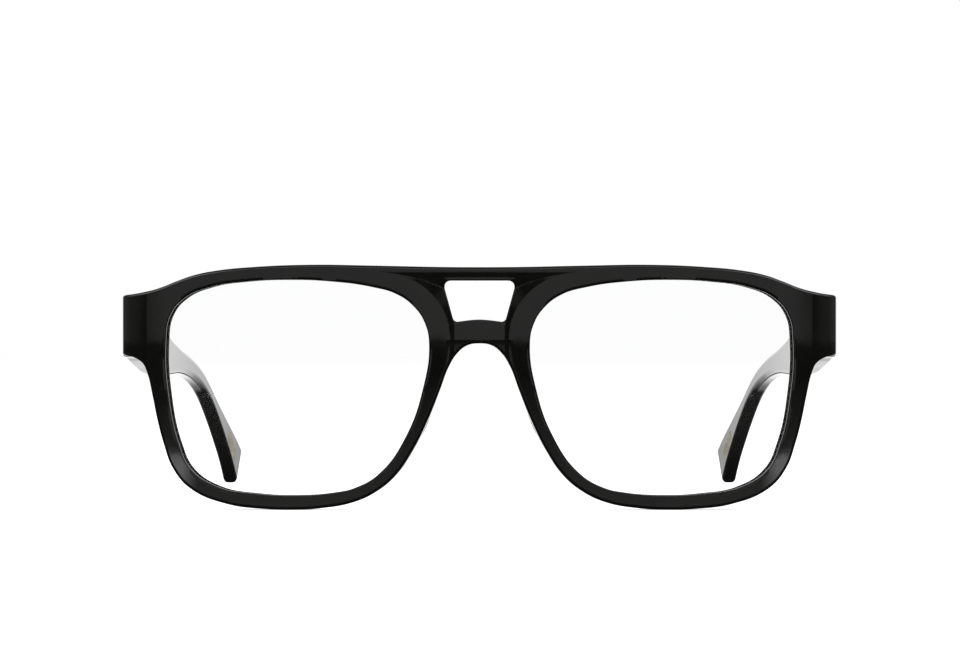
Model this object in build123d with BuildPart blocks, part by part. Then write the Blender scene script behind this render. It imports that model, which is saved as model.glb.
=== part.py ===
from build123d import *
from math import asin, cos, degrees, sin
import os

os.makedirs("parts", exist_ok=True)

# Driving dimensions in millimetres, X across the face, Y from the front to the ear tips, Z up
front_width = 143.6
front_height = 48.8
front_radius = 300.0
rim_thickness = 4.2
end_turn_radius = 5.5
end_straight = 1.94
temple_reach = 136.0
rim_above = 3.0
rim_below = 2.9
side_rim = 8.75
bridge_gap = 19.9
brow_bar_height = 3.2
nose_bridge_height = 4.26
overrun = 5.0

half_width = front_width / 2
turn_x = (half_width - end_turn_radius) / (1 - end_turn_radius / front_radius)
turn_sweep = asin(turn_x / front_radius)
turn_angle = degrees(turn_sweep)
turn_depth = front_radius * (1 - cos(turn_sweep)) + end_turn_radius * cos(turn_sweep)
joint_setback = turn_depth + end_straight
front_y = -(joint_setback + temple_reach) / 2
joint_y = front_y + joint_setback
tip_y = joint_y + temple_reach
bridge_half = bridge_gap / 2
lens_opening_width = half_width - bridge_half - side_rim
lens_opening_height = front_height - rim_above - rim_below
lens_center_x = bridge_half + lens_opening_width / 2
lens_center_height = rim_below + lens_opening_height / 2

# Brow line: shares of the half width and of the front height
brow_shares = [(0, 0.990), (0.12, 0.991), (0.28, 0.996), (0.48, 1.0), (0.635, 0.991), (0.735, 0.977),
               (0.80, 0.958), (0.847, 0.934), (0.895, 0.907), (0.94, 0.890), (1.0, 0.878)]

# Under the end piece: shares of the side rim and of the height of the temple's lower corner
end_shares = [(1.0, 1.018), (0.729, 0.997), (0.527, 0.958), (0.425, 0.902), (0.289, 0.7455), (0.170, 0.588)]

# Under the lens: shares of half the lens opening and of the height of the lens centre
rim_shares = [(1.006, 0.535), (0.9386, 0.339), (0.807, 0.1725), (0.5265, 0.046), (0.241, 0.006), (0.039, 0),
              (-0.182, 0.014), (-0.432, 0.066), (-0.610, 0.1585), (-0.750, 0.289), (-0.8685, 0.477),
              (-0.988, 0.7376)]

# Nose arch: shares of half the bridge gap and of the height of the arch
arch_shares = [(0.790, 0.7215), (0.6036, 0.8657), (0.431, 0.9454), (0.244, 0.988), (0.0864, 0.999), (0, 1.0)]

# Aperture between the brow bar and the nose bridge
aperture_width = 14.7
aperture_height = 8.2
aperture_top_radius = 1.6
aperture_base_radius = 0.6
aperture_base_width_share = 0.69
aperture_arch_share = 0.06

# Milled facet that sets the double bridge back between the rims
facet_depth = 0.75
facet_top_x = 18.5
facet_middle_x = 9.2
facet_low_x = 4.9
facet_lap = 2.6

# Lens
lens_shares = [(-1.0, 0.40), (-0.971, 0.590), (-0.895, 0.739), (-0.766, 0.860), (-0.571, 0.932),
               (-0.259, 0.984), (0.105, 1.0), (0.384, 0.983), (0.649, 0.935), (0.862, 0.823),
               (0.968, 0.664), (1.0, 0.441), (0.979, -0.08), (0.898, -0.529), (0.808, -0.753),
               (0.607, -0.918), (0.293, -0.987), (0, -1.0), (-0.260, -0.977), (-0.450, -0.923),
               (-0.632, -0.787), (-0.828, -0.445), (-0.955, -0.002)]
lens_radius = 200.0
lens_thickness = 2.0
lens_apex_depth = 0.15
bevel_depth = 2.85
bevel_height = 0.5
bevel_half_width = 0.45
lens_clearance = 0.05

# End block that carries the hinge
seat_depth = 2.1
block_width = 3.9
block_depth = 3.4
block_height = 10.4
block_bite = 0.5

# Hinge
knuckle_radius = 1.45
knuckle_height = 1.25
knuckle_gap = 0.06
knuckle_count = 5
pin_offset = 1.75
screw_radius = 0.6
screw_clearance = 0.03
screw_head_radius = 1.1
screw_head_height = 0.45
screw_slot_width = 0.3
screw_slot_depth = 0.2
anchor_width = 3.3
anchor_height = 8.4
anchor_depth = 1.4
lug_width = 2.2
plate_height = 6.4
plate_length = 10.0
plate_depth = 1.1
plate_setback = 1.2
plate_corner_radius = 0.3
joint_gap = 0.1

# Temple
temple_thickness = 4.2
tip_thickness = 3.1
middle_thickness = 3.5
temple_middle_inset = 5.2
temple_tip_inset = 14.3
tip_corner_radius = 1.3
temple_root_width = 12.1
temple_root_step = 0.45

# Temple side view: shares of the reach and of the root height
temple_top_shares = [(0, 1.0), (0.10, 0.984), (0.20, 0.948), (0.275, 0.910), (0.335, 0.855), (0.385, 0.803),
                     (0.435, 0.766), (0.50, 0.742), (0.58, 0.712), (0.65, 0.676), (0.71, 0.625), (0.77, 0.546),
                     (0.84, 0.434), (0.92, 0.312), (1.0, 0.196)]
temple_bottom_shares = [(0.984, -0.0145), (0.90, 0.140), (0.83, 0.288), (0.77, 0.414), (0.72, 0.497),
                        (0.66, 0.551), (0.59, 0.588), (0.51, 0.610), (0.435, 0.620), (0.375, 0.615),
                        (0.32, 0.603), (0.26, 0.604), (0.19, 0.631), (0.09, 0.679), (0, 0.7146)]

# Core wire
wire_thickness = 1.2
wire_height = 2.0
wire_shares = [(0.11, 0.835), (0.22, 0.784), (0.33, 0.735), (0.42, 0.694), (0.51, 0.676),
               (0.60, 0.646), (0.68, 0.592), (0.75, 0.510), (0.84, 0.372)]

# Gold inlay near the ear tip
inlay_length = 10.0
inlay_width = 3.0
inlay_depth = 0.3
inlay_reach_share = 0.905
inlay_height_share = 0.215
inlay_tilt = -31.0
inlay_corner_radius = 0.4

# Nose pads
pad_place_shares = (-0.95, 0.764)
pad_tilt = 112.0
pad_half_length = 7.6
pad_half_width = 1.45
pad_reach = 5.5
pad_splay = 0.2
pad_stage_shares = [(0, 0, 1, 1), (0.6, 0.4, 0.96, 0.92), (0.9, 0.85, 0.86, 0.74), (1, 1, 0.70, 0.40)]

# Places worked out from the sizes above
aperture_top = front_height - brow_bar_height
aperture_base_height = aperture_top - aperture_height
arch_top = aperture_base_height - nose_bridge_height
temple_root_height = front_height * brow_shares[-1][1] - temple_root_step
temple_root_bottom = temple_root_height - temple_root_width
pad_center_x = lens_center_x + pad_place_shares[0] * lens_opening_width / 2
pad_center_height = pad_place_shares[1] * lens_center_height
wrap_angle = asin(lens_center_x / front_radius)
lens_y = front_y + front_radius * (1 - cos(wrap_angle))
lens_plane = Plane(
    origin=(lens_center_x, lens_y, lens_center_height),
    x_dir=(cos(wrap_angle), sin(wrap_angle), 0),
    z_dir=(sin(wrap_angle), -cos(wrap_angle), 0),
)
front_plane = Plane(origin=(0, front_y - overrun, 0), x_dir=(1, 0, 0), z_dir=(0, -1, 0))
root_inner_x = half_width - temple_thickness
pin_x = root_inner_x - pin_offset
pin_y = joint_y + joint_gap
seat_y = joint_y - seat_depth
hinge_z = (temple_root_height + temple_root_bottom) / 2
knuckle_pitch = knuckle_height + knuckle_gap
hinge_height = knuckle_count * knuckle_pitch - knuckle_gap
hinge_bottom = hinge_z - hinge_height / 2


def scaled(shares, width, height):
    return [(x * width, y * height) for x, y in shares]


def side_points():
    # Lower outline of the half front, from the end piece under the lens to the nose arch
    opening_edge = half_width - side_rim
    end_points = [(opening_edge + x * side_rim, z * temple_root_bottom) for x, z in end_shares]
    rim_points = [
        (lens_center_x + x * lens_opening_width / 2, z * lens_center_height) for x, z in rim_shares
    ]
    return end_points + rim_points + scaled(arch_shares, bridge_half, arch_top)


def lens_outline(plane, grow):
    # Closed lens outline, grown all round, on a plane parallel to the lens
    half_w = lens_opening_width / 2 + grow
    half_h = lens_opening_height / 2 + grow
    with BuildSketch(plane) as outline:
        with BuildLine():
            Spline(*scaled(lens_shares, half_w, half_h), periodic=True)
        make_face()
    return outline.sketch


def bevelled_lens(plane, grow):
    # Thin disc with a pointed edge, which is the lens bevel or the groove that takes it
    sections = [
        lens_outline(plane.offset(level - bevel_depth), grow + extra).face()
        for level, extra in ((bevel_half_width, 0), (0, bevel_height), (-bevel_half_width, 0))
    ]
    with BuildPart() as disc:
        loft(sections, ruled=True)
    return disc.part


def temple_band(inner_depth, outer_depth):
    # Plan view of the temple between two depths measured from its inner face
    root_x = root_inner_x
    middle_x = half_width - temple_middle_inset - middle_thickness
    end_x = half_width - temple_tip_inset - tip_thickness
    middle_y = joint_y + temple_reach / 2
    root_y = joint_y + joint_gap
    with BuildSketch(Plane.XY.offset(-overrun)) as band:
        with BuildLine():
            inner = ThreePointArc(
                (root_x + inner_depth[0], root_y),
                (middle_x + inner_depth[1], middle_y),
                (end_x + inner_depth[2], tip_y),
            )
            outer = ThreePointArc(
                (root_x + outer_depth[0], root_y),
                (middle_x + outer_depth[1], middle_y),
                (end_x + outer_depth[2], tip_y),
            )
            Line(inner @ 0, outer @ 0)
            Line(inner @ 1, outer @ 1)
        make_face()
    return band.sketch


def side_outline(shares):
    # Points of the temple side view, from shares of its reach and of its root height
    return [(joint_y + y * temple_reach, z * temple_root_height) for y, z in shares]


def knuckle_profile(level, lug):
    # One hinge knuckle seen from above, with the lug that joins it to its plate
    lug_center_x, lug_center_y, lug_size_x, lug_size_y = lug
    with BuildSketch(Plane.XY.offset(level)) as profile:
        with Locations((pin_x, pin_y)):
            Circle(knuckle_radius)
        with Locations((lug_center_x, lug_center_y)):
            Rectangle(lug_size_x, lug_size_y)
        with Locations((pin_x, pin_y)):
            Circle(screw_radius + screw_clearance, mode=Mode.SUBTRACT)
    return profile.sketch


full_depth = (temple_thickness, middle_thickness, tip_thickness)
face_depth = (0, 0, 0)

# Front hinge: anchor plate sunk into the end piece, with three knuckles
with BuildPart() as front_hinge_left:
    with BuildSketch(Plane.XZ.offset(-seat_y)):
        with Locations((pin_x, hinge_z)):
            RectangleRounded(anchor_width, anchor_height, plate_corner_radius)
    extrude(amount=anchor_depth)
    for index in range(0, knuckle_count, 2):
        front_lug = (pin_x, (seat_y + pin_y) / 2, lug_width, pin_y - seat_y)
        extrude(knuckle_profile(hinge_bottom + index * knuckle_pitch, front_lug), amount=knuckle_height)
    with Locations((pin_x, pin_y, hinge_bottom + hinge_height)):
        Cylinder(
            screw_head_radius + screw_clearance,
            screw_head_height + screw_clearance,
            align=(Align.CENTER, Align.CENTER, Align.MAX),
            mode=Mode.SUBTRACT,
        )

# Temple hinge: plate let into the inner face of the temple, with two knuckles
with BuildPart() as temple_hinge_left:
    with BuildSketch(Plane.YZ):
        with Locations((joint_y + plate_setback + plate_length / 2, hinge_z)):
            RectangleRounded(plate_length, plate_height, plate_corner_radius)
    extrude(amount=half_width)
    plate_band = temple_band(face_depth, (plate_depth, plate_depth, plate_depth))
    extrude(plate_band, amount=front_height + 2 * overrun, mode=Mode.INTERSECT)
    lug_reach = root_inner_x + plate_depth / 2 - pin_x
    for index in range(1, knuckle_count, 2):
        temple_lug = (pin_x + lug_reach / 2, pin_y + lug_width / 2, lug_reach, lug_width)
        extrude(knuckle_profile(hinge_bottom + index * knuckle_pitch, temple_lug), amount=knuckle_height)

# Hinge screw: slotted head, plain shank through all five knuckles
with BuildPart() as hinge_screw_left:
    with BuildSketch(Plane.XY.offset(hinge_bottom)):
        with Locations((pin_x, pin_y)):
            Circle(screw_radius)
    extrude(amount=hinge_height)
    with BuildSketch(Plane.XY.offset(hinge_bottom + hinge_height - screw_head_height)):
        with Locations((pin_x, pin_y)):
            Circle(screw_head_radius)
    extrude(amount=screw_head_height)
    with BuildSketch(Plane.XY.offset(hinge_bottom + hinge_height)):
        with Locations((pin_x, pin_y)):
            Rectangle(screw_slot_width, 2 * screw_head_radius + overrun)
    extrude(amount=-screw_slot_depth, mode=Mode.SUBTRACT)

# Left half of the front: a slab of acetate cut to outline and curved in plan
with BuildPart() as front_half:
    with BuildSketch(front_plane):
        with BuildLine():
            brow = Spline(*scaled(brow_shares, half_width, front_height))
            side = Spline(*side_points())
            brow_end = Line(brow @ 1, (half_width + overrun, (brow @ 1).Y))
            side_end = Line(side @ 0, (half_width + overrun, (side @ 0).Y))
            Line(brow_end @ 1, side_end @ 1)
            Line(side @ 1, brow @ 0)
        make_face()
    extrude(amount=-(joint_setback + 2 * overrun))
    with BuildSketch(Plane.XY.offset(-overrun)):
        with BuildLine():
            face_arc = CenterArc((0, front_y + front_radius), front_radius, -90, turn_angle)
            end_turn = JernArc(face_arc @ 1, face_arc % 1, end_turn_radius, 90 - turn_angle)
            end_line = Line(end_turn @ 1, (half_width, joint_y))
            end_face = Line(end_line @ 1, (root_inner_x, joint_y))
            Line(end_face @ 1, (root_inner_x, (end_turn @ 1).Y))
            CenterArc(
                end_turn.arc_center, end_turn_radius - rim_thickness, 0, -(90 - turn_angle)
            )
            back_arc = CenterArc(
                (0, front_y + front_radius), front_radius - rim_thickness, -90 + turn_angle, -turn_angle
            )
            Line(back_arc @ 1, face_arc @ 0)
        make_face()
    extrude(amount=front_height + 2 * overrun, mode=Mode.INTERSECT)

    # Hinge seat in the corner behind the end piece
    block_outer_x = root_inner_x + block_bite
    block_inner_x = root_inner_x - block_width
    with BuildSketch(Plane.XY.offset(hinge_z - block_height / 2)):
        with Locations(((block_inner_x + block_outer_x) / 2, seat_y - block_depth / 2)):
            Rectangle(block_outer_x - block_inner_x, block_depth)
    extrude(amount=block_height)

    # Lens opening square to the lens, and the groove that holds the lens
    opening = lens_outline(lens_plane.offset(overrun), 0)
    extrude(opening, amount=-(joint_setback + 2 * overrun), mode=Mode.SUBTRACT)
    add(bevelled_lens(lens_plane, lens_clearance), mode=Mode.SUBTRACT)

    # Half of the aperture of the double bridge
    with BuildSketch(front_plane):
        with BuildLine():
            half_top = aperture_width / 2
            half_base = half_top * aperture_base_width_share
            arch_height = aperture_base_height + aperture_height * aperture_arch_share
            top_line = Line((0, aperture_top), (half_top, aperture_top))
            slant = Line(top_line @ 1, (half_base, aperture_base_height))
            arch = TangentArc((0, arch_height), slant @ 1, tangent=(1, 0))
            Line(arch @ 0, top_line @ 0)
        make_face()
        fillet(vertices().group_by(Axis.X)[-1], aperture_top_radius)
        fillet(vertices().filter_by(lambda corner: corner.X > 0).group_by(Axis.Y)[0], aperture_base_radius)
    extrude(amount=-(joint_setback + 2 * overrun), mode=Mode.SUBTRACT)

    # Facet milled between the two rims
    with BuildSketch(front_plane):
        with BuildLine():
            facet_edge = ThreePointArc(
                (facet_top_x, front_height + overrun),
                (facet_middle_x, aperture_base_height + aperture_height / 2),
                (facet_low_x, arch_top - facet_lap),
            )
            facet_base = Line(facet_edge @ 1, (0, arch_top - facet_lap))
            facet_middle = Line(facet_base @ 1, (0, front_height + overrun))
            Line(facet_middle @ 1, facet_edge @ 0)
        make_face()
    extrude(amount=-(overrun + facet_depth), mode=Mode.SUBTRACT)
    add(front_hinge_left.part, mode=Mode.SUBTRACT)

# Whole front, both halves in one piece of acetate
with BuildPart() as front_frame:
    add(front_half.part)
    mirror(front_half.part, about=Plane.YZ)

# Lens: a meniscus cut by its front and back spheres, with a pointed bevel round its edge
with BuildPart() as lens_bevel:
    add(bevelled_lens(lens_plane, -lens_clearance))
    bevel_core = lens_outline(lens_plane.offset(overrun), -2 * bevel_height)
    extrude(bevel_core, amount=-3 * overrun, mode=Mode.SUBTRACT)

with BuildPart() as lens_left:
    extrude(lens_outline(lens_plane.offset(overrun), -lens_clearance), amount=-3 * overrun)
    with Locations(lens_plane.offset(-lens_apex_depth - lens_radius)):
        Sphere(lens_radius, mode=Mode.INTERSECT)
        Sphere(lens_radius - lens_thickness, mode=Mode.SUBTRACT)
    add(lens_bevel.part)

# Nose pad: a block of acetate glued behind the rim, narrowing towards the nose
with BuildPart() as nose_pad_left:
    pad_start_y = front_y + rim_thickness - facet_depth
    for reach_share, splay_share, length_share, width_share in pad_stage_shares:
        pad_y = pad_start_y + reach_share * (pad_reach + facet_depth)
        with BuildSketch(Plane.XZ.offset(-pad_y)):
            with Locations((pad_center_x + splay_share * pad_splay, pad_center_height)):
                Ellipse(pad_half_length * length_share, pad_half_width * width_share, rotation=pad_tilt)
    loft()
    add(front_frame.part, mode=Mode.SUBTRACT)

# Core wire: flat nickel strip inside the temple, from the hinge plate to the ear tip
with BuildPart() as core_wire_left:
    with BuildSketch(Plane.YZ):
        with BuildLine():
            wire_points = side_outline(wire_shares)
            upper = Spline(*[(y, z + wire_height / 2) for y, z in wire_points])
            lower = Spline(*[(y, z - wire_height / 2) for y, z in wire_points])
            Line(upper @ 0, lower @ 0)
            Line(upper @ 1, lower @ 1)
        make_face()
    extrude(amount=half_width)
    wire_inner = [(depth - wire_thickness) / 2 for depth in full_depth]
    wire_outer = [(depth + wire_thickness) / 2 for depth in full_depth]
    extrude(temple_band(wire_inner, wire_outer), amount=front_height + 2 * overrun, mode=Mode.INTERSECT)

# Inlay: small plain gold bar set flush in the inner face near the ear tip
with BuildPart() as tip_inlay_left:
    with BuildSketch(Plane.YZ):
        inlay_y = joint_y + inlay_reach_share * temple_reach
        with Locations(Location((inlay_y, inlay_height_share * temple_root_height, 0), (0, 0, inlay_tilt))):
            RectangleRounded(inlay_length, inlay_width, inlay_corner_radius)
    extrude(amount=half_width)
    inlay_band = temple_band(face_depth, (inlay_depth, inlay_depth, inlay_depth))
    extrude(inlay_band, amount=front_height + 2 * overrun, mode=Mode.INTERSECT)

# Temple: acetate side arm, broad at the hinge, narrow before the ear, bent down behind it
with BuildPart() as temple_left:
    with BuildSketch(Plane.YZ):
        with BuildLine():
            top_edge = Spline(*side_outline(temple_top_shares))
            under_edge = Spline(*side_outline(temple_bottom_shares))
            Line(under_edge @ 1, top_edge @ 0)
            Line(top_edge @ 1, under_edge @ 0)
        make_face()
        fillet(vertices().group_by(Axis.X)[-1], tip_corner_radius)
        fillet(vertices().group_by(Axis.Y)[0], tip_corner_radius)
    extrude(amount=half_width)
    extrude(temple_band(face_depth, full_depth), amount=front_height + 2 * overrun, mode=Mode.INTERSECT)
    for inner_piece in (temple_hinge_left, core_wire_left, tip_inlay_left):
        add(inner_piece.part, mode=Mode.SUBTRACT)

# Both sides: the wearer's left pieces are mirrored to make the right ones
side_pieces = {
    "lens": lens_left,
    "nose_pad": nose_pad_left,
    "front_hinge": front_hinge_left,
    "temple_hinge": temple_hinge_left,
    "hinge_screw": hinge_screw_left,
    "temple": temple_left,
    "core_wire": core_wire_left,
    "tip_inlay": tip_inlay_left,
}
front_frame.part.label = "front_frame"
export_step(front_frame.part, "parts/front_frame.step")
for name, left_piece in side_pieces.items():
    with BuildPart() as right_piece:
        mirror(left_piece.part, about=Plane.YZ)
    left_piece.part.label = name + "_left"
    right_piece.part.label = name + "_right"
    export_step(left_piece.part, "parts/" + name + "_left.step")
    export_step(right_piece.part, "parts/" + name + "_right.step")
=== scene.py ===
import bisect
import math

import bmesh
import bpy
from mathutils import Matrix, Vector


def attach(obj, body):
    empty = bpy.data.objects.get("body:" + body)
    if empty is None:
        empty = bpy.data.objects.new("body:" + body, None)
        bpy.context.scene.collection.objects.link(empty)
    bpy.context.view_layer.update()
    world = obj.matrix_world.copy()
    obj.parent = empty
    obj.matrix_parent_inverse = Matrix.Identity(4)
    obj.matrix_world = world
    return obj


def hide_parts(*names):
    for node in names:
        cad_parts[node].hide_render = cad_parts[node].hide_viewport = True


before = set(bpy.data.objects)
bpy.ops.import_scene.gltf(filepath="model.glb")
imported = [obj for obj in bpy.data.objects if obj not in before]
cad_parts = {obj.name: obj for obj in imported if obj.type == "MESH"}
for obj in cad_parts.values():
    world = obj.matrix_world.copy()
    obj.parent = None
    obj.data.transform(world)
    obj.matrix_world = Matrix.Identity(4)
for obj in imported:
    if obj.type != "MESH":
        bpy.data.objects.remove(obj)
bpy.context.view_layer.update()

# Front: one plate of black acetate, milled flat, polished on all its edges and then bent to
# the face, with both ends turned back to the hinges. Its sizes are in millimetres, and its
# corners go to metres when it is bent.
MM = 0.001
face_radius = 300.0
face_y = -75.5
half_width = 71.8
end_radius = 6.2
joint_y = -60.5
turn_x = (half_width - end_radius) / (1 - end_radius / face_radius)
turn_sweep = math.asin(turn_x / face_radius)
turn_start = face_radius * turn_sweep
turn_end = turn_start + end_radius * (math.pi / 2 - turn_sweep)
turn_y = face_y + face_radius * (1 - math.cos(turn_sweep)) + end_radius * math.cos(turn_sweep)
hinge_edge = turn_end + (joint_y - turn_y)
rim_thickness = 4.2
rim_edge = 0.65
lip_edge = 0.26
lip_depth = 0.55
lens_x, lens_z = 36.5, 24.35
lens_half_w, lens_half_h = 26.55, 21.45
lens_angle = math.asin(lens_x / face_radius)
lens_shape = [(-1.0, 0.40), (-0.971, 0.590), (-0.895, 0.739), (-0.766, 0.860), (-0.571, 0.932),
              (-0.259, 0.984), (0.105, 1.0), (0.384, 0.983), (0.649, 0.935), (0.862, 0.823),
              (0.968, 0.664), (1.0, 0.441), (0.979, -0.08), (0.898, -0.529), (0.808, -0.753),
              (0.607, -0.918), (0.293, -0.987), (0, -1.0), (-0.260, -0.977), (-0.450, -0.923),
              (-0.632, -0.787), (-0.828, -0.445), (-0.955, -0.002)]
brow_line = [(0, 48.3), (8.6, 48.36), (20.0, 48.6), (34.3, 48.8), (45.4, 48.36), (52.5, 47.68),
             (57.2, 46.75), (60.6, 45.58), (64.0, 44.26), (67.2, 43.43), (70.0, 43.0), (71.75, 42.86)]
end_corners = [(hinge_edge, 42.84, 0.8), (hinge_edge, 30.6, 0.8)]
side_line = [(71.75, 30.6), (70.9, 30.52), (69.2, 30.14), (67.5, 29.04), (66.65, 27.33), (65.5, 22.6),
             (64.5, 17.8), (63.2, 13.0), (61.4, 8.25), (57.9, 4.2), (50.5, 1.12), (42.9, 0.15),
             (37.5, 0), (31.7, 0.34), (25.0, 1.6), (20.3, 3.86), (16.6, 7.03), (13.45, 11.6),
             (10.27, 17.96), (7.86, 23.9), (6.0, 28.7), (4.29, 31.33), (2.43, 32.74)]
arch_top = 33.14
aperture = [(-7.35, 45.6, 1.7), (7.35, 45.6, 1.7), (5.07, 37.4, 0.8), (0, 37.9), (-5.07, 37.4, 0.8)]


def along_face(x):
    # Distance along the bent outer face to a place that is seen at x from the front
    if x <= turn_x:
        return face_radius * math.asin(x / face_radius)
    swept = math.asin((x - half_width + end_radius) / end_radius)
    return turn_start + end_radius * (swept - turn_sweep)


def smooth_loop(curve, points):
    # One closed Bezier outline; a third number on a point is the radius of a rounded corner
    bend_pull, straight_pull = 0.55, 0.3
    knots = []
    for index, point in enumerate(points):
        here = Vector((point[0], point[1], 0))
        if len(point) == 2:
            knots.append((here, None, None))
            continue
        before, after = points[index - 1], points[(index + 1) % len(points)]
        for other, first in ((before, True), (after, False)):
            away = (Vector((other[0], other[1], 0)) - here).normalized()
            start = here + away * point[2]
            bend = start - away * point[2] * bend_pull
            straight = start + away * point[2] * straight_pull
            knots.append((start, straight, bend) if first else (start, bend, straight))
    spline = curve.splines.new("BEZIER")
    spline.use_cyclic_u = True
    spline.bezier_points.add(len(knots) - 1)
    for knot, (place, left, right) in zip(spline.bezier_points, knots):
        knot.co = place
        if left is None:
            knot.handle_left_type = knot.handle_right_type = "AUTO"
        else:
            knot.handle_left_type = knot.handle_right_type = "FREE"
            knot.handle_left, knot.handle_right = left, right


def flat_plate(name, loops, thickness, edge, rounds, detail):
    # A plate in millimetres with its outline and openings rounded over, lying in the XY plane
    weld_gap = 0.0005
    curve = bpy.data.curves.new(name, "CURVE")
    curve.dimensions = "2D"
    curve.fill_mode = "BOTH"
    curve.resolution_u = detail
    for points in loops:
        smooth_loop(curve, points)
    curve.extrude = thickness / 2 - edge
    curve.bevel_depth = edge
    curve.bevel_resolution = rounds
    curve.offset = -edge
    blank = bpy.data.objects.new(name, curve)
    plate = bmesh.new()
    plate.from_mesh(bpy.data.meshes.new_from_object(blank))
    bpy.data.objects.remove(blank)
    bmesh.ops.remove_doubles(plate, verts=plate.verts, dist=weld_gap)
    bmesh.ops.recalc_face_normals(plate, faces=plate.faces)
    return plate


cut_gap = 0.0002


def cut(plate, faces, point, way):
    # Cuts faces of a plate at a point, square to a way, and gives all the faces that this leaves
    parts = faces + list({line for face in faces for line in face.edges})
    parts += list({corner for face in faces for corner in face.verts})
    found = bmesh.ops.bisect_plane(plate, geom=parts, dist=cut_gap, plane_co=point, plane_no=way)["geom"]
    return [part for part in found if isinstance(part, bmesh.types.BMFace)]


def slice_plate(plate, faces, axis, low, high, step):
    # Cuts faces of a plate across an axis at every step, halving the run each time, so that
    # the plate can be bent smoothly
    cells = round((high - low) / step)
    if cells < 2 or not faces:
        return
    middle = low + cells // 2 * step
    way = Vector((axis == 0, axis == 1, 0))
    faces = cut(plate, faces, way * middle, way)
    before = [face for face in faces if face.calc_center_median()[axis] < middle]
    beyond = [face for face in faces if face.calc_center_median()[axis] >= middle]
    slice_plate(plate, before, axis, low, middle, step)
    slice_plate(plate, beyond, axis, middle, high, step)


def wall_facing(corner):
    # The level way that the walls at a corner of a plate face; its flats have no say in it
    flat = 0.999
    walls = [face for face in corner.link_faces if abs(face.normal.z) < flat]
    wall = sum((face.normal * face.calc_area() for face in walls), Vector())
    wall.z = 0
    return wall


def note_facing(plate, thickness, edge):
    # Keeps on each corner the way that the rounded plate faces there, level on its walls and
    # upright on its flats
    facing = plate.verts.layers.float_vector.new("facing")
    plate.normal_update()
    for corner in plate.verts:
        wall = wall_facing(corner)
        up = min(1.0, max(0.0, (abs(corner.co.z) - thickness / 2) / edge + 1)) if wall.length > 0 else 1.0
        wall.normalize()
        corner[facing] = wall * math.sqrt(1 - up * up) + Vector((0, 0, math.copysign(up, corner.co.z)))
    return facing


def tighten(plate, facing, thickness, edge, share):
    # Makes the rounding of a plate's edges smaller, by a share that may change from place to place
    for corner in plate.verts:
        shrink = share(corner.co)
        if shrink == 0:
            continue
        wall = wall_facing(corner)
        up = corner[facing].z
        corner.co += wall.normalized() * (edge * shrink * (1 - math.sqrt(max(0.0, 1 - up * up))))
        rise = shrink * max(0.0, min(edge, thickness / 2 - abs(corner.co.z)))
        corner.co.z += math.copysign(rise, corner.co.z)


def bend_plate(plate, facing, route):
    # Takes every corner of a plate along a route, and turns the way that it faces with it
    nudge = 0.02
    for corner in plate.verts:
        home = route(corner.co)
        outward = math.copysign(nudge, corner.co.x)
        along = (route(corner.co + Vector((outward, 0, 0))) - home) * math.copysign(1, outward)
        across = route(corner.co + Vector((0, nudge, 0))) - home
        out = route(corner.co + Vector((0, 0, nudge))) - home
        way = corner[facing]
        turned = across.cross(out) * way.x + out.cross(along) * way.y + along.cross(across) * way.z
        corner[facing] = turned.normalized() * math.copysign(1, along.cross(across).dot(out))
        corner.co = home


def settle(name, plate, body, node):
    # Turns a finished plate in metres into a piece that rides on a body and stands for a CAD node
    sharp_angle = math.radians(40)
    near = 0.75
    mesh = bpy.data.meshes.new(name)
    plate.to_mesh(mesh)
    plate.free()
    mesh.polygons.foreach_set("use_smooth", [True] * len(mesh.polygons))
    mesh.set_sharp_from_angle(angle=sharp_angle)
    facing = mesh.attributes["facing"]
    ways = [Vector(place.vector) for place in facing.data]
    mesh.attributes.remove(facing)
    mesh.normals_split_custom_set([ways[index] if ways[index].dot(polygon.normal) > near else Vector()
                                   for polygon in mesh.polygons for index in polygon.vertices])
    piece = bpy.data.objects.new(name, mesh)
    bpy.context.scene.collection.objects.link(piece)
    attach(piece, body)
    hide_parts(node)
    return piece


def ease(value, low, high):
    # Runs smoothly from 0 at low to 1 at high
    share = min(1.0, max(0.0, (value - low) / (high - low)))
    return share * share * (3 - 2 * share)


def rounded_ring(points, between):
    # A smooth closed line through the given points, as angles and distances from the lens's middle
    ring = []
    for index in range(len(points)):
        a, b, c, d = (Vector(points[(index + shift) % len(points)]) for shift in (-1, 0, 1, 2))
        for count in range(between):
            t = count / between
            bow = (a - b * 2.5 + c * 2 - d / 2) * t ** 2
            sway = (b * 3 - a - c * 3 + d) * (t ** 3 / 2)
            spot = b + (c - a) * (t / 2) + bow + sway
            u, v = spot.x * lens_half_w, spot.y * lens_half_h
            ring.append((math.atan2(v, u), math.hypot(u, v)))
    ring.sort()
    return [(ring[-1][0] - math.tau, ring[-1][1])] + ring + [(ring[0][0] + math.tau, ring[0][1])]


lens_ring = rounded_ring(lens_shape, between=8)
lens_turns = [turn for turn, size in lens_ring]


def opening_reach(x, z):
    # How far a place of the face lies outside the edge of the lens opening
    dx, dz = x - lens_x, z - lens_z
    turn = math.atan2(dz, dx)
    after = bisect.bisect_right(lens_turns, turn)
    (a, first), (b, second) = lens_ring[after - 1], lens_ring[after]
    return math.hypot(dx, dz) - first - (second - first) * (turn - a) / (b - a)


# The facets: the width of rim left standing round each opening, the foot of the brow's rounded
# edge, the slope and its soft start, how far out and down the cutter went, the flat middle of
# the nose bridge, and the shallow shelf that the brow bar keeps above it
facet_band = 3.6
facet_top = 47.45
facet_slope = math.tan(math.radians(17))
facet_soft = 0.7
facet_end = 24.0
facet_foot = 24.0
foot_blend = 4
bridge_flat = 5.0
bridge_blend = 2
shelf_run = 1.15
shelf_gain = 3
shelf_drop = (1.6, 4.0)


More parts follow.
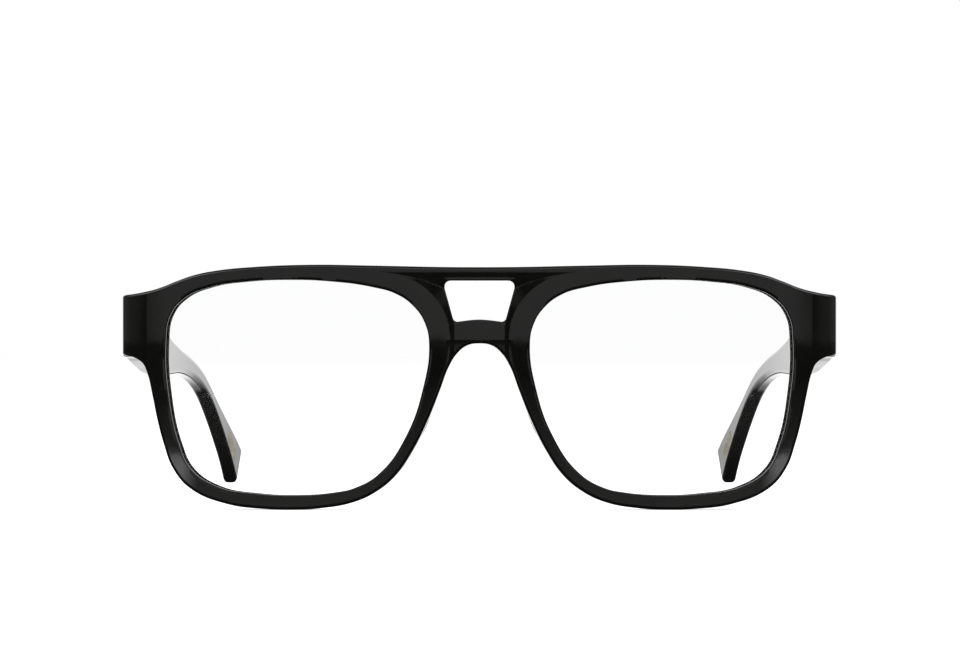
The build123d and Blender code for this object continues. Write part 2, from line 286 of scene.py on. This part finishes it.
def hollow(x, z):
    # Depth milled off the front face: slopes fall from each rim and from the brow to the double
    # bridge between them
    across = abs(x)
    if across > facet_end or z < facet_foot:
        return 0.0
    run = min(opening_reach(max(across, bridge_flat), z) - facet_band, facet_top - z)
    if run <= 0:
        return 0.0
    if across < bridge_flat + bridge_blend:
        run = min(run, shelf_run + shelf_gain * ease(facet_top - z, *shelf_drop))
    fall = run * run / (2 * facet_soft) if run < facet_soft else run - facet_soft / 2
    return facet_slope * fall * ease(z, facet_foot, facet_foot + foot_blend)


# Near an opening the plate is cut square to its lens, and elsewhere square to the bent face
square_band, square_blend = 4.2, 3.2
turn_blend = 3


def bend_face(place):
    # Takes a place of the flat plate to the bent front, in metres
    s, z, level = place
    side = 1 if s >= 0 else -1
    run = abs(s)
    depth = rim_thickness / 2 - level
    if run <= turn_start:
        angle = run / face_radius
        x, y = face_radius * math.sin(angle), face_y + face_radius * (1 - math.cos(angle))
        square = ease(square_band - opening_reach(x, z), 0, square_blend)
        square *= ease(turn_start - run, 0, turn_blend)
        angle += (lens_angle - angle) * square
    elif run <= turn_end:
        angle = turn_sweep + (run - turn_start) / end_radius
        x = half_width - end_radius + end_radius * math.sin(angle)
        y = turn_y - end_radius * math.cos(angle)
    else:
        angle = math.pi / 2
        x, y = half_width, turn_y + run - turn_end
    depth += hollow(x, z) * max(0.0, 1 - depth / rim_thickness)
    x -= math.sin(angle) * depth
    y += math.cos(angle) * depth
    return Vector((side * x * MM, y * MM, z * MM))


def mirrored(points):
    # The same points on the other side of the nose, in the order that closes the outline
    return [(-point[0],) + tuple(point[1:]) for point in reversed(points)]


right_half = [(along_face(x), z) for x, z in brow_line] + end_corners
right_half += [(along_face(x), z) for x, z in side_line]
outline = right_half + [(0, arch_top)] + mirrored(right_half[1:])
openings = []
for side in (1, -1):
    center = side * along_face(lens_x)
    openings.append([(center + side * u * lens_half_w, lens_z + v * lens_half_h) for u, v in lens_shape])
front_plate = flat_plate("front", [outline] + openings + [aperture], rim_thickness, rim_edge,
                         rounds=4, detail=11)

# Cells for the bend, finer on the front side between the rims, where the facets are
sheet_end, sheet_top, sheet_cell = 78, 49, 1.0
middle_end, middle_foot, middle_cell = 21, 29, 0.35
slice_plate(front_plate, front_plate.faces[:], 0, -sheet_end, sheet_end, sheet_cell)
slice_plate(front_plate, front_plate.faces[:], 1, 0, sheet_top, sheet_cell)
for axis, low, high in ((0, -middle_end, middle_end), (1, middle_foot, sheet_top)):
    middle_part = [face for face, spot in [(face, face.calc_center_median()) for face in front_plate.faces]
                   if abs(spot.x) < middle_end and spot.y > middle_foot and spot.z > 0]
    slice_plate(front_plate, middle_part, axis, low, high, middle_cell)
front_facing = note_facing(front_plate, rim_thickness, rim_edge)


def at_opening(spot):
    # Whether a place of the flat plate is on the wall of a lens opening
    margin = 0.02
    return opening_reach(abs(spot.x) - along_face(lens_x) + lens_x, spot.y) < rim_edge + margin


def lip_share(spot):
    # The openings and the aperture have a tighter edge than the outline
    half_width_there, foot, head = 8.2, 36.6, 46.3
    inside_aperture = abs(spot.x) < half_width_there and foot < spot.y < head
    return 1 - lip_edge / rim_edge if at_opening(spot) or inside_aperture else 0


tighten(front_plate, front_facing, rim_thickness, rim_edge, lip_share)

# Only the lip before the lens is polished; the wall behind it is left as the cutter leaves it
steep = 0.3
lip_back = rim_thickness / 2 - lip_depth
walls = [face for face in front_plate.faces
         if abs(face.normal.z) < steep and at_opening(face.calc_center_median())]
for face in cut(front_plate, walls, (0, 0, lip_back), (0, 0, 1)):
    face.material_index = int(face.calc_center_median().z < lip_back)
bend_plate(front_plate, front_facing, bend_face)

# The hinge seat: a block in the corner behind each end piece, of the same acetate
seat_size = Vector((4.4, 3.4, 10.4))
seat_x, seat_y, seat_z = 65.9, -64.3, 36.35
seat_edge = 0.7
for side in (1, -1):
    block = bmesh.ops.create_cube(front_plate, size=1)["verts"]
    bmesh.ops.scale(front_plate, vec=seat_size * MM, verts=block)
    bmesh.ops.translate(front_plate, vec=Vector((side * seat_x, seat_y, seat_z)) * MM, verts=block)
    lines = {line for corner in block for line in corner.link_edges}
    bmesh.ops.bevel(front_plate, geom=list(lines), offset=seat_edge * MM, offset_type="OFFSET",
                    segments=3, profile=0.5, affect="EDGES", material=-1)
front = settle("front_acetate", front_plate, "front", "front_frame")


class Value:
    """A shader socket that takes part in sums."""

    def __init__(self, recipe, socket):
        self.recipe = recipe
        self.socket = socket

    def __add__(self, other):
        return self.recipe.maths("ADD", self, other)

    def __mul__(self, other):
        return self.recipe.maths("MULTIPLY", self, other)

    def __sub__(self, other):
        return self.recipe.maths("SUBTRACT", self, other)

    def __rsub__(self, other):
        return self.recipe.maths("SUBTRACT", other, self)

    __radd__ = __add__
    __rmul__ = __mul__

    def over(self, low, high):
        # Runs from 0 at low to 1 at high, clamped
        return self.recipe.node("ShaderNodeMapRange", {}, {"Value": self, "From Min": low, "From Max": high})


class Recipe:
    """A node material or world: its shader, and one way to add a node."""

    def __init__(self, name, world=None):
        self.owner = world or bpy.data.materials.new(name)
        self.owner.use_nodes = True
        self.tree = self.owner.node_tree
        self.tree.nodes.clear()
        self.output = self.tree.nodes.new("ShaderNodeOutputWorld" if world else "ShaderNodeOutputMaterial")

    def node(self, kind, settings, sockets, out=0):
        made = self.tree.nodes.new(kind)
        for key, value in settings.items():
            setattr(made, key, value)
        for key, value in sockets.items():
            if isinstance(value, Value):
                self.tree.links.new(value.socket, made.inputs[key])
            else:
                made.inputs[key].default_value = value
        return Value(self, made.outputs[out])

    def maths(self, operation, *terms):
        return self.node("ShaderNodeMath", {"operation": operation}, dict(enumerate(terms)))

    def noise(self, scale, detail, rough, stretch=(1, 1, 1)):
        place = self.node("ShaderNodeTexCoord", {}, {}, out="Object")
        spot = self.node("ShaderNodeMapping", {}, {"Vector": place, "Scale": stretch})
        return self.node("ShaderNodeTexNoise", {}, {"Vector": spot, "Scale": scale, "Detail": detail,
                                                    "Roughness": rough})

    def tint(self, share, first, second):
        # A Mix node's sockets share their names, so its share, two colours and result go by number
        return self.node("ShaderNodeMix", {"data_type": "RGBA"}, {0: share, 6: first, 7: second}, out=2)

    def bump(self, height, strength, distance):
        return self.node("ShaderNodeBump", {}, {"Height": height, "Strength": strength, "Distance": distance})

    def show(self, shader):
        self.tree.links.new(shader.socket, self.output.inputs["Surface"])
        return self.owner

    def finish(self, **values):
        sockets = {key.replace("_", " "): value for key, value in values.items()}
        return self.show(self.node("ShaderNodeBsdfPrincipled", {}, sockets))


def acetate(name, specular, haze):
    # Black acetate: very dark olive in the mass, tumbled and hand polished, with faint buffing marks
    dark, olive = (0.0018, 0.0019, 0.0016, 1), (0.0038, 0.0039, 0.0029, 1)
    amber = (0.014, 0.013, 0.009, 1)
    mix = Recipe(name)
    cloud = mix.noise(scale=160, detail=3, rough=0.55)
    fleck = mix.noise(scale=1900, detail=2, rough=0.6).over(0.62, 0.80)
    hairs = mix.noise(scale=900, detail=2, rough=0.5, stretch=(0.12, 1, 1))
    colour = mix.tint(cloud.over(0.35, 0.75), dark, olive)
    colour = mix.tint(fleck * 0.15, colour, amber)
    roughness = haze + cloud.over(0.3, 0.8) * 0.008 + hairs.over(0.5, 0.75) * 0.006 + fleck * 0.02
    ripple = mix.noise(scale=110, detail=2, rough=0.45)
    return mix.finish(Base_Color=colour, Roughness=roughness, IOR=1.49, Specular_IOR_Level=specular,
                      Normal=mix.bump(ripple, strength=0.02, distance=0.0002))


front_finish = acetate("polished black acetate, front", specular=0.5, haze=0.016)
furrow, ridge = (0.004, 0.004, 0.0035, 1), (0.009, 0.009, 0.0075, 1)
milled = Recipe("milled groove of the front")
tracks = milled.noise(scale=1200, detail=2, rough=0.5, stretch=(0.3, 1, 1))
milled_finish = milled.finish(Base_Color=milled.tint(tracks.over(0.3, 0.7), furrow, ridge),
                              Roughness=0.62 + tracks * 0.2, Specular_IOR_Level=0.0,
                              Normal=milled.bump(tracks, strength=0.2, distance=0.00004))
front.data.materials.append(front_finish)
front.data.materials.append(milled_finish)

# Nose pads: small blocks of the same acetate, glued behind the rims beside the nose, filed to
# shape there and left satin.
pad_finish = acetate("satin black acetate, nose pad", specular=0.3, haze=0.3)
for side in ("left", "right"):
    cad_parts["nose_pad_" + side].material_slots[0].material = pad_finish

# Lenses: clear plastic, surfaced and coated against glare on both faces, with an edge bevelled
# to spring into the rim's groove.
green_glare, clear_tint = (0.86, 0.95, 0.90, 1), (0.992, 0.996, 0.993, 1)
coating = Recipe("clear coated lens")
gleam = coating.node("ShaderNodeFresnel", {}, {"IOR": 1.35})
smear = coating.noise(scale=60, detail=3, rough=0.6).over(0.35, 0.75)
glare = coating.node("ShaderNodeBsdfAnisotropic", {}, {"Color": green_glare, "Roughness": 0.02 + smear * 0.03})
clear = coating.node("ShaderNodeBsdfTransparent", {}, {"Color": clear_tint})
shine = coating.maths("MINIMUM", gleam * 0.28, 0.04)
lens_finish = coating.show(coating.node("ShaderNodeMixShader", {}, {0: shine, 1: clear, 2: glare}))
for side in ("left", "right"):
    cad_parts["lens_" + side].material_slots[0].material = lens_finish

# Temples: side arms of the same acetate, milled from sheet, rounded over all round and bent in
# plan, broad at the hinge, narrow before the ear and bent down behind it. Their outline runs
# back from the joint, in millimetres or as a share of the temple's reach.
temple_thickness = 4.0
temple_edge = 1.3
temple_reach = 136.0
temple_root = 0.1
blank_start, blank_top = -4, 42
temple_top = [(0.10, 41.2), (0.20, 38.9), (0.29, 36.0), (0.357, 34.0), (0.409, 32.84), (0.458, 31.75),
              (0.52, 30.6), (0.576, 29.4), (0.65, 27.27), (0.702, 25.11), (0.745, 22.88), (0.785, 20.6),
              (0.872, 15.77), (0.95, 11.3)]
temple_under = [(0.912, 4.8), (0.861, 9.68), (0.806, 14.3), (0.738, 19.1), (0.7, 21.1), (0.663, 22.64),
                (0.603, 24.4), (0.535, 25.55), (0.46, 26.1), (0.38, 26.05), (0.30, 25.95), (0.22, 26.5),
                (0.131, 28.05), (0.06, 29.35)]
temple_side = ([(blank_start, 42.5, 1.4), (2, 42.36)] + [(run * temple_reach, z) for run, z in temple_top]
               + [(temple_reach, 8.0, 1.6), (0.952 * temple_reach, -0.15, 1.6)]
               + [(run * temple_reach, z) for run, z in temple_under]
               + [(2, 30.25), (blank_start, 30.6, 1.4)])
inner_arc = (67.6, 63.1, 54.4)
outer_arc = (71.8, 66.6, 57.5)


def arc_x(run, root, middle, tip):
    # A circular arc in plan through three places of the temple, as x at a distance behind the joint
    a, b, c = (Vector((root, 0)), Vector((middle, temple_reach / 2)), Vector((tip, temple_reach)))
    d = 2 * (a.x * (b.y - c.y) + b.x * (c.y - a.y) + c.x * (a.y - b.y))
    ux = (a.dot(a) * (b.y - c.y) + b.dot(b) * (c.y - a.y) + c.dot(c) * (a.y - b.y)) / d
    uy = (a.dot(a) * (c.x - b.x) + b.dot(b) * (a.x - c.x) + c.dot(c) * (b.x - a.x)) / d
    radius = math.hypot(root - ux, uy)
    return ux + math.copysign(math.sqrt(max(0, radius * radius - (run - uy) ** 2)), root - ux)


def root_share(spot):
    # The edges are tighter at the root, where the temple meets the end piece
    tightest, tight_until, even_from = 0.6, 18, 45
    return tightest * (1 - ease(spot.x, tight_until, even_from))


temple_finish = acetate("polished black acetate, temple", specular=0.5, haze=0.03)
for side, sign in (("left", 1), ("right", -1)):
    arm = flat_plate("temple_" + side, [temple_side], temple_thickness, temple_edge, rounds=5, detail=12)
    for axis, low, high, cell in ((0, blank_start, temple_reach, 2.0), (1, 0, blank_top, 3.0)):
        slice_plate(arm, arm.faces[:], axis, low, high, cell)
    arm_facing = note_facing(arm, temple_thickness, temple_edge)
    tighten(arm, arm_facing, temple_thickness, temple_edge, root_share)
    everything = arm.verts[:] + arm.edges[:] + arm.faces[:]
    trim = bmesh.ops.bisect_plane(arm, geom=everything, dist=cut_gap, plane_co=(temple_root, 0, 0),
                                  plane_no=(-1, 0, 0), clear_outer=True)["geom_cut"]
    bmesh.ops.edgeloop_fill(arm, edges=[part for part in trim if isinstance(part, bmesh.types.BMEdge)])

    def bend_arm(place):
        # Takes a place of the flat side arm to its place on the head, in metres
        run, z, level = place
        inner, outer = arc_x(run, *inner_arc), arc_x(run, *outer_arc)
        x = inner + (outer - inner) * (level / temple_thickness + 0.5)
        return Vector((sign * x * MM, (joint_y + run) * MM, z * MM))

    bend_plate(arm, arm_facing, bend_arm)
    if sign < 0:
        bmesh.ops.reverse_faces(arm, faces=arm.faces)
    temple = settle("temple_acetate_" + side, arm, "temple_arm_" + side, "temple_" + side)
    temple.data.materials.append(temple_finish)

# Hinges: leaves and knuckles of cold-formed nickel silver, tumbled and half sunk in the acetate,
# and through each pair a slotted screw of plain turned steel, which is the pin.
dull_nickel, bright_nickel = (0.50, 0.49, 0.45, 1), (0.66, 0.65, 0.61, 1)
nickel = Recipe("tumbled nickel silver")
grain = nickel.noise(scale=2600, detail=3, rough=0.6)
worn = nickel.noise(scale=500, detail=3, rough=0.6).over(0.4, 0.7)
nickel_finish = nickel.finish(Base_Color=nickel.tint(worn, dull_nickel, bright_nickel), Metallic=1.0,
                              Roughness=0.24 + grain.over(0.35, 0.7) * 0.18,
                              Normal=nickel.bump(grain, strength=0.25, distance=0.00005))
dull_steel, bright_steel = (0.52, 0.52, 0.53, 1), (0.70, 0.70, 0.71, 1)
steel = Recipe("turned screw steel")
rings = steel.noise(scale=1500, detail=2, rough=0.5, stretch=(1, 1, 8))
steel_finish = steel.finish(Base_Color=steel.tint(rings.over(0.3, 0.7), dull_steel, bright_steel), Metallic=1.0,
                            Roughness=0.18 + rings.over(0.3, 0.7) * 0.15,
                            Normal=steel.bump(rings, strength=0.2, distance=0.00004))
for side in ("left", "right"):
    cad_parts["front_hinge_" + side].material_slots[0].material = nickel_finish
    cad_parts["temple_hinge_" + side].material_slots[0].material = nickel_finish
    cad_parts["hinge_screw_" + side].material_slots[0].material = steel_finish

# Core wires: a flat strip of the same nickel silver, shot hot into the middle of each temple to
# stiffen it, so that it keeps the bend that it is given.
for side in ("left", "right"):
    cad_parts["core_wire_" + side].material_slots[0].material = nickel_finish

# Inlays: a small plain bar of gold-coloured metal, brushed to a satin and set flush in the inner
# face of each ear tip.
dull_gold, bright_gold = (0.34, 0.29, 0.16, 1), (0.44, 0.39, 0.24, 1)
gold = Recipe("satin gold bar")
brushed = gold.noise(scale=1400, detail=2, rough=0.55, stretch=(1, 0.15, 1))
gold_finish = gold.finish(Base_Color=gold.tint(brushed.over(0.3, 0.7), dull_gold, bright_gold), Metallic=1.0,
                          Roughness=0.28 + brushed.over(0.3, 0.7) * 0.15,
                          Normal=gold.bump(brushed, strength=0.2, distance=0.00003))
for side in ("left", "right"):
    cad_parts["tip_inlay_" + side].material_slots[0].material = gold_finish

# Floor: a plain pale sheet of paper that the glasses stand on, with their soft shadow. It looks
# white directly and through the lenses, and the acetate mirrors the studio in its place.
floor_reach = 4
floor_mesh = bmesh.new()
bmesh.ops.create_grid(floor_mesh, x_segments=1, y_segments=1, size=floor_reach)
floor_data = bpy.data.meshes.new("floor")
floor_mesh.to_mesh(floor_data)
floor_mesh.free()
floor = bpy.data.objects.new("floor", floor_data)
bpy.context.scene.collection.objects.link(floor)
grey_paper, pale_paper = (0.78, 0.78, 0.775, 1), (0.80, 0.80, 0.80, 1)
paper = Recipe("pale paper floor")
fibre = paper.noise(scale=30, detail=3, rough=0.6)
lit = paper.node("ShaderNodeBsdfDiffuse", {}, {"Color": paper.tint(fibre, grey_paper, pale_paper)})
seen = paper.node("ShaderNodeLightPath", {}, {}, out="Is Camera Ray")
passed = paper.node("ShaderNodeLightPath", {}, {}, out="Is Transmission Ray")
glow = paper.node("ShaderNodeEmission", {}, {"Color": (1, 1, 1, 1), "Strength": (seen + passed) * 0.55})
floor.data.materials.append(paper.show(paper.node("ShaderNodeAddShader", {}, {0: lit, 1: glow})))
floor.visible_glossy = False

# Studio: white directly and through the lenses, and a plain soft grey as light. What the acetate
# mirrors is drawn by direction: across, ahead and height run from -1 to 1 along X, Y and Z.
world = bpy.data.worlds.new("studio")
bpy.context.scene.world = world
room = Recipe("studio", world)
heading = room.node("ShaderNodeTexCoord", {}, {}, out="Generated")
across, ahead, height = (room.node("ShaderNodeSeparateXYZ", {}, {"Vector": heading}, out=axis)
                         for axis in "XYZ")
aside, back, below = room.maths("ABSOLUTE", across), 0 - ahead, 0 - height
ceiling = height.over(0.4, 1.0)
sheet_behind = ahead.over(0.82, 0.955)
sheet_middle = ahead.over(0.93, 0.97)
above_bench = height.over(-0.0058, -0.0048)
on_bench = below.over(0.012, 0.045)
side_walls = aside.over(0.5, 0.9) * above_bench
window = back.over(0.855, 0.885) * (above_bench + on_bench) * (1 - below.over(0.08, 0.18))
bench_glint = (aside.over(0.422, 0.445) * (1 - aside.over(0.464, 0.480)) * height.over(-0.040, -0.032)
               * (1 - height.over(-0.0300, -0.0285)) * back.over(0.5, 0.6))
brow_glint = (height.over(0.52, 0.66) * (1 - height.over(0.72, 0.86)) * back.over(0.1, 0.4)
              * (1 - aside.over(0.70, 0.85)))
end_glint = (height.over(0.25, 0.45) * (1 - height.over(0.85, 0.95)) * aside.over(0.35, 0.5)
             * (1 - ahead.over(0.3, 0.6)))
dark_room, soft_light = 0.05, 0.55
mirrored_room = (dark_room + ceiling * 0.14 + sheet_behind * 0.95 + sheet_middle * 0.35 + side_walls * 0.12
                 + window * 0.45 + bench_glint * 2.4 + brow_glint * 2.2 + end_glint * 1.1)
seen = room.node("ShaderNodeLightPath", {}, {}, out="Is Camera Ray")
passed = room.node("ShaderNodeLightPath", {}, {}, out="Is Transmission Ray")
glossy = room.node("ShaderNodeLightPath", {}, {}, out="Is Glossy Ray")
direct = (seen + passed).over(0, 1)
other = (1 - direct) * (glossy * mirrored_room + (1 - glossy) * soft_light)
room.show(room.node("ShaderNodeBackground", {}, {"Color": (1, 1, 1, 1), "Strength": direct + other}))

# Lamps: one soft box overhead and a long one above the brow, which the acetate doesn't mirror
for name, place, aim, size, power in (("overhead", (0, 0.0, 1.3), (0, 0, 0), (1.6, 1.2), 12),
                                      ("brow light", (0, -0.95, 0.95), (0, -0.07, 0.03), (1.3, 0.3), 5.5)):
    lamp = bpy.data.lights.new(name, "AREA")
    lamp.shape = "RECTANGLE"
    lamp.size, lamp.size_y = size
    lamp.energy = power
    light = bpy.data.objects.new(name, lamp)
    light.location = place
    light.rotation_euler = (Vector(aim) - Vector(place)).to_track_quat("-Z", "Y").to_euler()
    light.visible_glossy = False
    bpy.context.scene.collection.objects.link(light)

# Camera: long lens, level with the upper part of the lenses, straight in front. The shifts are
# in pixels of the photo's width.
photo_width = 960
shift_right, shift_down = 0.5, 15.5
camera_data = bpy.data.cameras.new("camera")
camera_data.sensor_width = 36
camera_data.lens = 178.1
camera_data.shift_x = shift_right / photo_width
camera_data.shift_y = -shift_down / photo_width
camera_data.clip_start = 0.01
camera = bpy.data.objects.new("camera", camera_data)
camera.location = (0, -1.0175, 0.0384)
camera.rotation_euler = (math.pi / 2, 0, 0)
bpy.context.scene.collection.objects.link(camera)
bpy.context.scene.camera = camera
bpy.context.scene.view_settings.view_transform = "Standard"
